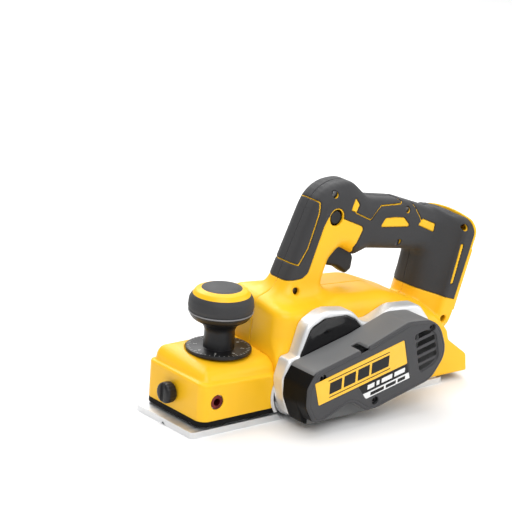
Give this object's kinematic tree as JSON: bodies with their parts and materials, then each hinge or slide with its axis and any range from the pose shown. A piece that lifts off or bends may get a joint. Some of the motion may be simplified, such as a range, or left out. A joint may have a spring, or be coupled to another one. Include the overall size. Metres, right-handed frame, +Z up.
{
  "type": "electric hand planer",
  "caption": "Cordless electric hand planer: yellow shell, dark D handle, round depth knob, side belt cover, adjustable front shoe and rear sole.",
  "frame": {"origin": "centre of the rear sole's flat face, on the work surface", "axes": "+Z up from the sole, +X along the tool towards its tail, against the feed, +Y towards the chip outlet, with the belt cover on -Y"},
  "size_m": [0.3295, 0.144, 0.203],
  "materials": {
    "yellow_shell": "fine moulded grain, satin",
    "rubber_skin": "soft overmould, matt",
    "black_moulding": "moulded, satin",
    "gloss_black": "polished",
    "yellow_ring": "moulded, satin",
    "cover_grey": "fine moulded grain",
    "label": "printed film, two plain fields",
    "sole_alloy": "milled and polished along its length",
    "cast_alloy": "die cast, bead blasted",
    "steel": "ground or plated",
    "fence_red": "dark red anodised",
    "copper": "enamelled copper wire",
    "brass_contact": "stamped strip",
    "belt_rubber": "ribbed belt",
    "wire_cover": "wire insulation"
  },
  "bodies": {
    "root": {"nose_cover": "yellow_shell", "housing_left": "yellow_shell", "housing_right": "yellow_shell", "grip_left": "rubber_skin", "grip_right": "rubber_skin", "front_skirt": "black_moulding", "outlet_collar": "black_moulding", "switch_body": "black_moulding", "terminal_block": "black_moulding", "chip_duct": "black_moulding", "controller_module": "black_moulding", "duct_cap": "gloss_black", "cover_front_wall": "gloss_black", "belt_cover": "cover_grey", "cover_label": "label", "rear_shoe": "sole_alloy", "side_plate": "cast_alloy", "frame_casting": "cast_alloy", "bearing_carrier": "cast_alloy", "motor_carrier": "cast_alloy", "shoe_screws": "steel", "kickstand_pin": "steel", "depth_spring": "steel", "housing_screws": "steel", "cover_screws": "steel", "plate_screws": "steel", "drum_bearings": "steel", "motor_stator": "steel", "motor_bearings": "steel", "trigger_pin": "steel", "trigger_spring": "steel", "fence_bushes": "fence_red", "motor_windings": "copper", "terminal_contacts": "brass_contact", "drive_belt": "belt_rubber", "switch_leads": "wire_cover", "motor_leads": "wire_cover"},
    "front_shoe": {"front_shoe": "sole_alloy"},
    "depth_knob": {"knob_core": "black_moulding", "knob_band": "rubber_skin", "knob_ring": "yellow_ring", "knob_cap": "black_moulding", "depth_spindle": "steel"},
    "cutter": {"cutter_drum": "cast_alloy", "drum_blades": "steel", "blade_clamps": "steel", "clamp_bolts": "steel", "drum_shaft": "steel", "drum_pulley": "cast_alloy"},
    "rotor": {"motor_rotor": "steel", "motor_shaft": "steel", "motor_pulley": "cast_alloy", "cooling_fan": "black_moulding"},
    "trigger": {"trigger": "black_moulding"},
    "lock_button": {"lock_off_button": "black_moulding"},
    "kickstand": {"kickstand": "black_moulding"},
    "blade_wrench": {"blade_wrench": "black_moulding"}
  },
  "joints": [
    {"name": "knob_turn", "type": "hinge", "parent": "root", "child": "depth_knob", "pos_m": [-0.151, 0, 0.06], "axis": [0, 0, 1], "range_deg": [0, 330]},
    {"name": "shoe_depth", "type": "slide", "parent": "root", "child": "front_shoe", "axis": [0, 0, 1], "range_m": [0, 0.002], "deforming": ["depth_spring"]},
    {"name": "drum_spin", "type": "hinge", "parent": "root", "child": "cutter", "pos_m": [-0.094, 0, 0.02345], "axis": [0, 1, 0], "continuous": true},
    {"name": "rotor_spin", "type": "hinge", "parent": "root", "child": "rotor", "pos_m": [0.00122, 0, 0.06], "axis": [0, 1, 0], "continuous": true},
    {"name": "trigger_pull", "type": "hinge", "parent": "root", "child": "trigger", "pos_m": [-0.044, 0, 0.1435], "axis": [0, -1, 0], "range_deg": [0, 10], "stiffness_Nm_per_rad": 1, "springref_deg": -6.88, "deforming": ["trigger_spring"]},
    {"name": "lock_push", "type": "slide", "parent": "root", "child": "lock_button", "axis": [0, 1, 0], "range_m": [-0.0035, 0.0035], "stiffness_N_per_m": 800},
    {"name": "stand_swing", "type": "hinge", "parent": "root", "child": "kickstand", "pos_m": [0.0565, 0.031, 0.003], "axis": [0, 1, 0], "range_deg": [0, 30]},
    {"name": "wrench_draw", "type": "slide", "parent": "root", "child": "blade_wrench", "axis": [-1, 0, 0], "range_m": [0, 0.06]}
  ],
  "couplings": [
    {"joint": "shoe_depth", "follows": "knob_turn", "m_per_rad": 0.00034725},
    {"joint": "rotor_spin", "follows": "drum_spin", "ratio": 1.2}
  ]
}
